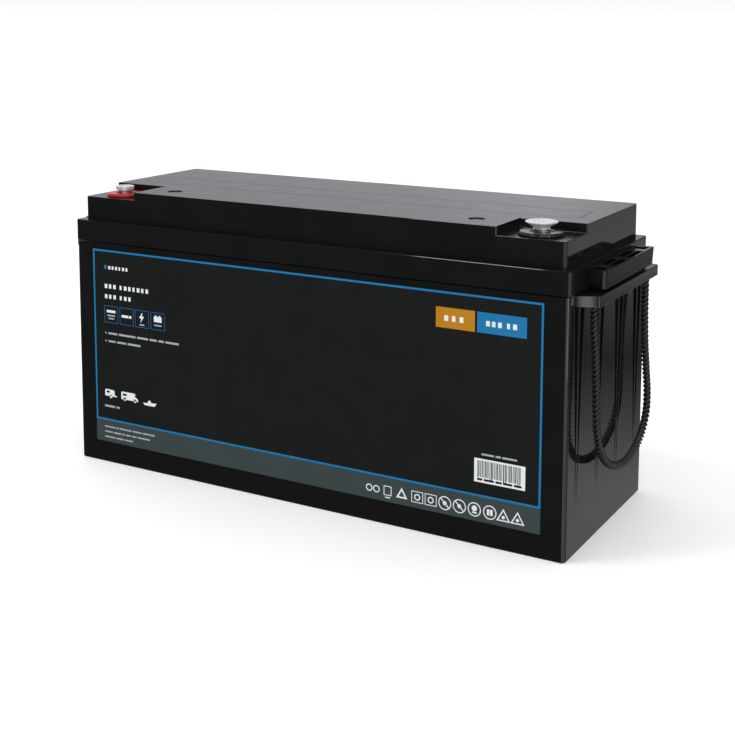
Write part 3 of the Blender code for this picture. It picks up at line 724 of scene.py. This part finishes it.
def label_tiles(inks):
    """Four outlined tiles: two with bars, one with a spark and one with a cell."""
    low, size = 125.6, 15.0
    lefts = (-196.6, -179.6, -162.9, -145.9)
    for left in lefts:
        tile = rectangle(left, left + size, low, low + size)
        hole = rectangle(left, left + size, low, low + size, 0.45)
        print_plate(inks["dark"], tile, hole)
    bars(inks["white"], lefts[0] + 2.6, low + 9.0, 2.2, (9.6,), 1)
    bars(inks["pale"], lefts[0] + 3.2, low + 5.8, 1.3, (8.6,), 1)
    bars(inks["pale"], lefts[0] + 4.4, low + 3.2, 1.3, (6.2,), 1)
    bars(inks["white"], lefts[1] + 2.2, low + 6.4, 2.2, (7.2, 2.6), 0.8)
    spark = ((1.4, 4.6), (-2.6, -0.6), (-0.3, -0.6), (-1.2, -4.6), (2.8, 0.9), (0.5, 0.9))
    print_plate(inks["white"], shifted(spark, lefts[2] + 7.0, low + 8.8))
    bars(inks["pale"], lefts[2] + 5.0, low + 1.8, 1.2, (5.0,), 1)
    bars(inks["white"], lefts[3] + 3.4, low + 6.8, 4.6, (8.2,), 1)
    bars(inks["white"], lefts[3] + 4.6, low + 11.4, 1.1, (1.8, 1.8), 2.2)
    bars(inks["pale"], lefts[3] + 3.6, low + 3.4, 1.2, (7.8,), 1)


def label_vehicles(inks):
    """Plain outlines of a trailer, a van and a boat, on round wheels."""
    trailer = ((-6.2, -2.4), (-6.2, 2.2), (-5.2, 3.6), (4.0, 3.2), (4.6, -1.2), (7.0, -1.8))
    trailer += ((7.0, -2.4),)
    van = ((-9.4, -2.8), (-9.4, 3.0), (-8.4, 4.0), (5.2, 4.0), (6.6, 2.4), (4.6, 1.6))
    van += ((8.8, -0.6), (9.2, -2.8))
    boat = ((-7.2, -0.6), (-2.4, -0.2), (-1.0, 2.2), (0.6, 2.2), (1.6, 0.2), (7.4, 0.6))
    boat += ((5.2, -2.4), (-5.6, -2.4))
    print_plate(inks["white"], shifted(trailer, -191.6, 62.6))
    print_plate(inks["white"], shifted(van, -170.4, 62.4))
    print_plate(inks["white"], shifted(boat, -148.6, 60.6))
    for x in (-191.4, -176.0, -164.6):
        print_plate(inks["white"], circle(x, 59.9, 1.5, 16))
    for x, width in ((-196.0, 3.4), (-178.0, 4.2)):
        print_plate(inks["black"], rectangle(x, x + width, 63.0, 64.8), level=1)


def label_stripes(inks):
    """A white panel of uneven upright stripes that holds no code."""
    left, right, low, high = 155.2, 195.7, 49.1, 67.2
    print_plate(inks["white"], rectangle(left, right, low, high))
    x = left + 2.6
    step = 0
    while x < right - 3.2:
        width = 0.35 + 0.45 * ((step * 7) % 4) / 3
        foot = low + (1.4 if step % 9 in (0, 8) else 4.2)
        print_plate(inks["black"], rectangle(x, x + width, foot, high - 1.4), level=1)
        x += width + 0.45 + 0.4 * ((step * 5) % 3) / 2
        step += 1
    bars(inks["black"], left + 2.6, low + 1.5, 1.6, (4, 8, 5, 7, 6), 1.3, level=1)
    small_print(inks["pale"], 161.0, 70.0, 1.9, (7, 3, 8), 1.5)


def label_symbols(inks):
    """Plain rings, squares and triangles along the grey strip, each with a simple mark inside."""
    middle = 27.4
    ink = inks["white"]

    def ring(outline, hole):
        print_plate(ink, outline, hole, level=1)

    def panel(x, half, low, high, line):
        edges = (x - half, x + half, middle + low, middle + high)
        ring(rectangle(*edges), rectangle(*edges, line))

    for x in (66.4, 72.8):
        ring(circle(x, middle, 2.9, 24), circle(x, middle, 2.1, 24))
    panel(82.6, 3.4, -3.6, 4.0, 0.6)
    bars(ink, 80.4, middle - 5.6, 0.8, (4.4,), 1, level=1)
    ring(triangle(94.9, middle - 0.6, 5.6), triangle(94.9, middle - 0.6, 3.2))
    for x in (108.2, 119.6):
        panel(x, 5.0, -4.4, 4.6, 0.55)
        ring(circle(x, middle, 2.6, 20), circle(x, middle, 1.7, 20))
    for x in (131.4, 143.5, 155.7, 168.2):
        ring(circle(x, middle, 5.4), circle(x, middle, 4.6))
    for x in (131.4, 143.5):
        slash = ((-3.6, 3.0), (-3.0, 3.6), (3.6, -3.0), (3.0, -3.6))
        print_plate(ink, shifted(slash, x, middle), level=1)
        print_plate(ink, circle(x, middle, 1.6, 16), level=2)
    print_plate(ink, circle(155.7, middle + 0.8, 2.2, 20), level=1)
    bars(ink, 153.8, middle - 3.0, 1.2, (3.8,), 1, level=1)
    bars(ink, 165.9, middle - 2.3, 4.6, (2.0, 2.0), 0.6, level=1)
    for x in (179.0, 190.2):
        ring(triangle(x, middle - 1.4, 6.4), triangle(x, middle - 1.4, 4.6))
        print_plate(ink, circle(x, middle - 1.6, 1.3, 16), level=1)


label()

# ---------------------------------------------------------------- terminals


def hex_points(radius, centre, z, steps):
    """Points round a hexagon, spaced like those of a circle with this many steps."""
    points = []
    for step in range(steps):
        angle = TURN * step / steps
        part = (angle + math.pi / 6) % (math.pi / 3) - math.pi / 6
        reach = radius * math.cos(math.pi / 6) / math.cos(part)
        points.append((centre[0] + reach * math.cos(angle), centre[1] + reach * math.sin(angle), z))
    return points


def terminal_bolt(pole, foot, lowered):
    """A flat-headed bolt: sloping flank down to its foot, hexagon socket and a cut thread.

    The head's top is lowered by this much from the CAD bolt's.
    """
    low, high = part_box(f"{pole}_terminal_bolt")
    high.z -= lowered
    centre = ((low.x + high.x) / 2, (low.y + high.y) / 2)
    rim = (high.x - low.x) / 2
    shank = 3.9 * MM
    head_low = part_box(f"{pole}_spring_washer")[1].z + 0.3 * MM
    steps = 72
    bm = bmesh.new()
    profile = [
        (rim * 0.58, high.z - 0.25 * MM),
        (rim * 0.62, high.z),
        (rim - 0.5 * MM, high.z),
        (rim - 0.12 * MM, high.z - 0.15 * MM),
        (rim, high.z - 0.5 * MM),
        (rim - 0.05 * MM, high.z - 0.65 * MM),
        (foot, head_low + 0.2 * MM),
        (foot - 0.2 * MM, head_low),
        (shank + 0.3 * MM, head_low),
        (shank, head_low - 0.3 * MM),
    ]
    z = head_low - 0.9 * MM
    while z > low.z + 1.3 * MM:
        profile += [(shank, z), (shank - 0.55 * MM, z - 0.6 * MM)]
        z -= 1.25 * MM
    profile += [(shank - 0.2 * MM, low.z + 0.8 * MM), (shank - 1.2 * MM, low.z), (0.0, low.z)]
    lathe(bm, profile, centre, steps, closed=False)
    bm.verts.ensure_lookup_table()
    top = bm.verts[:steps]
    socket = 2.9 * MM
    mouth = [bm.verts.new(p) for p in hex_points(socket + 0.2 * MM, centre, high.z - 0.25 * MM, steps)]
    brim = [bm.verts.new(p) for p in hex_points(socket, centre, high.z - 0.5 * MM, steps)]
    floor = [bm.verts.new(p) for p in hex_points(socket, centre, high.z - 1.6 * MM, steps)]
    for first, second in ((top, mouth), (mouth, brim), (brim, floor)):
        for i in range(steps):
            j = (i + 1) % steps
            bm.faces.new((first[i], first[j], second[j], second[i]))
    pit = bm.verts.new((*centre, high.z - 1.9 * MM))
    for i in range(steps):
        bm.faces.new((floor[i], floor[(i + 1) % steps], pit))
    node = f"{pole}_terminal_bolt"
    piece(f"{pole}_bolt_turned", bm, STEEL, f"{pole}_bolt", (node,), 25)


def lock_washer(pole):
    """A split spring washer: one flat coil with its two cut ends a little apart in height."""
    low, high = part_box(f"{pole}_spring_washer")
    centre = Vector(((low.x + high.x) / 2, (low.y + high.y) / 2, 0))
    outer = (high.x - low.x) / 2
    inner = 4.3 * MM
    thick = (high.z - low.z) * 0.72
    gap = math.radians(9)
    steps = 60
    bm = bmesh.new()
    rings = []
    for step in range(steps + 1):
        share = step / steps
        angle = gap / 2 + (TURN - gap) * share
        base = low.z + (high.z - low.z - thick) * share
        ease = 0.2 * MM
        section = (
            (inner + ease, base),
            (outer - ease, base),
            (outer, base + ease),
            (outer, base + thick - ease),
            (outer - ease, base + thick),
            (inner + ease, base + thick),
            (inner, base + thick - ease),
            (inner, base + ease),
        )
        turn = Vector((math.cos(angle), math.sin(angle), 0))
        rings.append([bm.verts.new(centre + turn * r + Vector((0, 0, z))) for r, z in section])
    for first, second in zip(rings, rings[1:]):
        for i in range(8):
            j = (i + 1) % 8
            bm.faces.new((first[i], first[j], second[j], second[i]))
    bm.faces.new(rings[0])
    bm.faces.new(rings[-1])
    body, node = f"{pole}_lock_washer", f"{pole}_spring_washer"
    piece(f"{pole}_lock_washer_coil", bm, STEEL, body, (node,), 30)


def seal_ring(pole, look, trimmed):
    """The moulded seal: a glossy disc with a rolled rim, a shallow inner step and a foot below.

    Its radius is trimmed by this much from the CAD seal's.
    """
    low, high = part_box(f"{pole}_seal_ring")
    centre = ((low.x + high.x) / 2, (low.y + high.y) / 2)
    rim = (high.x - low.x) / 2 - trimmed
    bore = 7.8 * MM
    shelf = 233.5 * MM
    profile = [
        (bore, high.z - 0.3 * MM),
        (bore + 1.6 * MM, high.z),
        (rim - 1.4 * MM, high.z),
        (rim - 0.7 * MM, high.z - 0.25 * MM),
        (rim - 0.7 * MM, high.z - 1.0 * MM),
        (rim, high.z - 1.15 * MM),
        (rim, shelf),
        (12.2 * MM, shelf),
        (12.2 * MM, low.z),
        (bore, low.z),
    ]
    bm = bmesh.new()
    lathe(bm, softened(profile, 0.3 * MM), centre, 96)
    piece(f"{pole}_seal_moulding", bm, look, "root", (f"{pole}_seal_ring",), 40)


for pole, foot, lowered, trimmed, look, slot in (
    ("positive", 7.8 * MM, 1.5 * MM, 1.5 * MM, SEAL_RED, "red_seal"),
    ("negative", 6.0 * MM, 0.0, 0.0, SEAL_BLACK, "black_seal"),
):
    terminal_bolt(pole, foot, lowered)
    lock_washer(pole)
    seal_ring(pole, look, trimmed)
    dress(f"{pole}_threaded_insert", BRASS)
    dress(f"{pole}_terminal_post", LEAD)
    dress(f"{pole}_post_o_ring", RUBBER)

# ---------------------------------------------------------------- rope handles

ROPE_RADIUS = 3.0 * MM
LAY = 11 * MM  # length of one full turn of the three strands
STRANDS = 3
ROUND = 24  # points round one section
SECTION = 0.6 * MM  # spacing of the sections
LEAN = 8 * MM  # how far the lowest point of a bight hangs towards the rear
STAND_OFF = 4.3 * MM  # and how far outward of its links it hangs
HANG = (  # (y, z) along one half of a bight, in millimetres
    (57.0, 150.0),
    (56.5, 130.0),
    (58.0, 108.0),
    (58.5, 92.0),
    (54.0, 76.0),
    (41.0, 62.5),
    (21.5, 54.0),
    (0.0, 51.0),
)


def strand_reach(angle):
    """How far the outline of three touching strands lies from the middle of a unit rope."""
    part = (angle + math.pi / STRANDS) % (TURN / STRANDS) - math.pi / STRANDS
    return 0.5 * math.cos(part) + math.sqrt(max(0.0, 0.25 - (0.5 * math.sin(part)) ** 2))


def smooth_line(points, spacing):
    """Points at even spacing along a smooth curve through these."""
    points = [points[0] * 2 - points[1], *points, points[-1] * 2 - points[-2]]
    fine = []
    for a, b, c, d in zip(points, points[1:], points[2:], points[3:]):
        slope = c - a
        bend = 2 * a - 5 * b + 4 * c - d
        twist = 3 * b - a - 3 * c + d
        for step in range(24):
            t = step / 24
            fine.append(0.5 * (2 * b + slope * t + bend * t**2 + twist * t**3))
    fine.append(points[-2])
    line = [fine[0]]
    left = spacing
    for a, b in zip(fine, fine[1:]):
        span = (b - a).length
        while span >= left and span > 0:
            a = a + (b - a) * (left / span)
            line.append(a)
            span = (b - a).length
            left = spacing
        left -= span
    if (line[-1] - fine[-1]).length > spacing * 0.3:
        line.append(fine[-1])
    return line


def rope(line, start_turn=0.0, swell=None, caps=(True, True)):
    """A three-strand laid rope along the line, with its radius swelled by a function of place."""
    bm = bmesh.new()
    strand = bm.loops.layers.uv.new("strand")
    crown = bm.verts.layers.float.new("crown")
    aside = Vector((1, 0, 0))
    rings, travelled, lengths = [], 0.0, []
    for i, point in enumerate(line):
        before, after = line[max(0, i - 1)], line[min(len(line) - 1, i + 1)]
        along = (after - before).normalized()
        aside = (aside - along * aside.dot(along)).normalized()
        across = along.cross(aside)
        if i:
            travelled += (point - line[i - 1]).length
        turn = start_turn + TURN * travelled / LAY
        size = ROPE_RADIUS * (swell(point) if swell else 1.0)
        size *= 1 + 0.04 * max(0.0, min(1.0, (FLANGE_LOW - point.z) / (4 * MM)))
        ring = []
        for step in range(ROUND):
            angle = TURN * step / ROUND
            reach = strand_reach(angle)
            spoke = aside * math.cos(angle + turn) + across * math.sin(angle + turn)
            vert = bm.verts.new(point + spoke * size * reach)
            # How far out on its strand the point lies; the rope material uses this to paint shade in
            # the valleys and light on the crowns.
            vert[crown] = 2 * reach - 1
            ring.append(vert)
        rings.append(ring)
        lengths.append(travelled)
    for k, (first, second) in enumerate(zip(rings, rings[1:])):
        for i in range(ROUND):
            j = (i + 1) % ROUND
            face = bm.faces.new((first[i], first[j], second[j], second[i]))
            for loop, (step, row) in zip(face.loops, ((i, k), (i + 1, k), (i + 1, k + 1), (i, k + 1))):
                angle = TURN * step / ROUND
                laid = lengths[row] / LAY
                loop[strand].uv = (angle * STRANDS + laid * 9.0, laid)
    for wanted, ring, end in ((caps[0], rings[0], line[0]), (caps[1], rings[-1], line[-1])):
        if wanted:
            hub = bm.verts.new(end)
            for i in range(ROUND):
                bm.faces.new((ring[i], ring[(i + 1) % ROUND], hub))
    return bm


def rope_handle(hand, side):
    """The rope on one end: two short necks through the flange and one long hanging bight."""
    link_low, link_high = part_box(f"{hand}_rope_front_link")
    x = (link_low.x + link_high.x) / 2
    middle = (link_low.z + link_high.z) / 2
    y = (link_low.y + link_high.y) / 2
    knot_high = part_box(f"{hand}_rope_front_knot")[1]
    shoulder = FLANGE_LOW + 2.8 * MM

    def swell(point):
        """The knot fills its pocket, and the rope below it keeps its own size."""
        rise = max(0.0, min(1.0, (point.z - shoulder) / (0.8 * MM)))
        crown = max(0.0, (point.z - knot_high.z + 1 * MM) / (1 * MM))
        return 1.0 + 0.3 * rise - 0.35 * crown**2

    for where, sign in (("front", 1), ("rear", -1)):
        neck = [Vector((x, sign * y, z)) for z in (knot_high.z, shoulder, link_high.z, middle)]
        bm = rope(smooth_line(neck, SECTION), swell=swell, caps=(True, False))
        knot = f"{hand}_rope_{where}_knot"
        made = piece(f"{hand}_rope_{where}_neck", bm, ROPE, None, (knot,), 180)
        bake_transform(made)
    straight = link_low.z - 3.3 * MM
    lowest = HANG[-1][1] * MM

    def hung(across, z):
        drop = max(0.0, (straight - z) / (straight - lowest))
        return Vector((x + side * STAND_OFF * drop, across + LEAN * drop**2, z))

    down = [(-abs(y), middle), (-abs(y), link_low.z), (-abs(y), straight)]
    down += [(-across * MM, z * MM) for across, z in HANG]
    up = [(-across, z) for across, z in down[:-1]]
    line = smooth_line([hung(across, z) for across, z in down + up[::-1]], SECTION)
    bm = rope(line, start_turn=TURN * (knot_high.z - middle) / LAY, caps=(False, False))
    nodes = (f"{hand}_rope_loop", f"{hand}_rope_front_link", f"{hand}_rope_rear_link")
    made = piece(f"{hand}_rope_bight_laid", bm, ROPE, None, nodes, 180)
    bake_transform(made)


for hand, side in (("left", -1), ("right", 1)):
    rope_handle(hand, side)

# ---------------------------------------------------------------- inner parts that stay

for node in NODES:
    for start, look in (
        ("valve_cap", RUBBER),
        ("positive_plate_group", PASTE_BROWN),
        ("negative_plate_group", PASTE_GREY),
        ("glass_mat", MAT_WHITE),
        ("intercell_weld", LEAD),
    ):
        if node.startswith(start):
            dress(node, look)
for node in NODES.values():
    even_normals(node)

# ---------------------------------------------------------------- stage


def stage_plane(name, points, look):
    mesh = bpy.data.meshes.new(name)
    mesh.from_pydata(points, [], [tuple(range(len(points)))])
    mesh.materials.append(look)
    made = bpy.data.objects.new(name, mesh)
    bpy.context.scene.collection.objects.link(made)
    return made


def stops(tree, source, points, tint=(1.0, 1.0, 1.0)):
    """A ramp from the source, which runs from -1 to 1, through (value, result) points."""
    ramp = tree.nodes.new("ShaderNodeValToRGB")
    half = tree.nodes.new("ShaderNodeMapRange")
    half.inputs["From Min"].default_value = -1.0
    tree.links.new(source, half.inputs["Value"])
    tree.links.new(half.outputs["Result"], ramp.inputs["Fac"])
    marks = ramp.color_ramp.elements
    marks.remove(marks[1])
    for i, (value, result) in enumerate(points):
        mark = marks.new((value + 1) / 2) if i else marks[0]
        mark.color = (*(result * share for share in tint), 1.0)
    return ramp.outputs["Color"]


def studio_world():
    """White all round, except that the gloss reflects grey screens: darker in front, paler behind."""
    world = bpy.data.worlds.new("studio")
    bpy.context.scene.world = world
    world.use_nodes = True
    tree = world.node_tree
    white = tree.nodes["Background"]
    white.inputs["Color"].default_value = (0.97, 0.98, 1.0, 1.0)
    white.inputs["Strength"].default_value = 1.0
    direction = tree.nodes.new("ShaderNodeSeparateXYZ")
    tree.links.new(tree.nodes.new("ShaderNodeTexCoord").outputs["Generated"], direction.inputs[0])
    across, depth, rise = direction.outputs
    ceiling = stops(tree, across, CEILING, (0.97, 0.98, 1.03))
    ground = stops(tree, rise, GROUND, (1.0, 1.0, 0.95))
    front = stops(tree, across, FRONT)

    def between(factor, first, second):
        node = tree.nodes.new("ShaderNodeMix")
        node.data_type = "RGBA"
        tree.links.new(factor, node.inputs["Factor"])
        tree.links.new(first, node.inputs[6])
        tree.links.new(second, node.inputs[7])
        return node.outputs[2]

    up = stops(tree, rise, ((-1.0, 0.0), (-0.01, 0.0), (0.01, 1.0), (1.0, 1.0)))
    behind = stops(tree, depth, ((-1.0, 0.0), (-0.1, 0.0), (0.1, 1.0), (1.0, 1.0)))
    room = between(behind, front, between(up, ground, ceiling))
    screens = tree.nodes.new("ShaderNodeBackground")
    tree.links.new(room, screens.inputs["Color"])
    path = tree.nodes.new("ShaderNodeLightPath")
    either = tree.nodes.new("ShaderNodeMixShader")
    tree.links.new(path.outputs["Is Glossy Ray"], either.inputs[0])
    tree.links.new(white.outputs[0], either.inputs[1])
    tree.links.new(screens.outputs[0], either.inputs[2])
    tree.links.new(either.outputs[0], tree.nodes["World Output"].inputs["Surface"])


# What the gloss sees: brightness by the X or Z of the direction it looks in
CEILING = (
    (-1.0, 0.5), (-0.62, 0.58), (-0.45, 0.65), (-0.36, 0.80), (-0.30, 0.58), (-0.20, 0.20),
    (0.05, 0.03),
)
GROUND = (
    (-1.0, 0.6), (-0.345, 0.38), (-0.30, 0.18), (-0.26, 0.05), (-0.215, 0.15),
    (-0.185, 0.32), (-0.14, 0.22), (-0.05, 0.3),
)
FRONT = (
    (-1.0, 0.02), (-0.28, 0.02), (0.2, 0.05), (0.27, 2.4), (0.35, 2.4), (0.42, 0.2),
    (0.5, 1.0), (0.7, 1.0), (1.0, 0.8),
)


def stage():
    reach = 60.0
    pale = plain("floor_pale", (0.90, 0.90, 0.90), (0.92, 0.92, 0.92), (0.6, 0.7), 0.4, 0.0001)
    corners = [(-reach, -reach, 0), (reach, -reach, 0), (reach, reach, 0), (-reach, reach, 0)]
    floor = stage_plane("floor", corners, pale)
    floor.visible_glossy = False
    shader = pale.node_tree.nodes["Principled BSDF"]
    shader.inputs["Emission Color"].default_value = (1.0, 1.0, 1.0, 1.0)
    shader.inputs["Emission Strength"].default_value = 0.22
    studio_world()
    for name, place, size, power in (
        ("key", (-0.9, -1.0, 2.4), (0.5, 0.5), 14),
        ("side", (2.1, -1.25, 0.1), (0.15, 1.2), 5),
    ):
        light = bpy.data.lights.new(name, "AREA")
        light.shape = "RECTANGLE"
        light.size, light.size_y = size
        light.energy = power
        lamp = bpy.data.objects.new(name, light)
        bpy.context.scene.collection.objects.link(lamp)
        lamp.location = place
        toward = Vector((0, 0, 0.1)) - Vector(place)
        lamp.rotation_euler = toward.to_track_quat("-Z", "Y").to_euler()


def camera():
    """Looks down at the labelled side and the right end, from a little over a metre away."""
    lens = bpy.data.cameras.new("camera")
    lens.lens = 64.57
    lens.sensor_width = 36.0
    lens.shift_x = 0.0300
    lens.shift_y = -0.2731
    made = bpy.data.objects.new("camera", lens)
    bpy.context.scene.collection.objects.link(made)
    made.location = (0.5478, -0.9433, 0.3998)
    made.rotation_euler = (math.radians(82.91), 0.0, math.radians(30.39))
    bpy.context.scene.camera = made
    bpy.context.scene.view_settings.view_transform = "Standard"


stage()
camera()
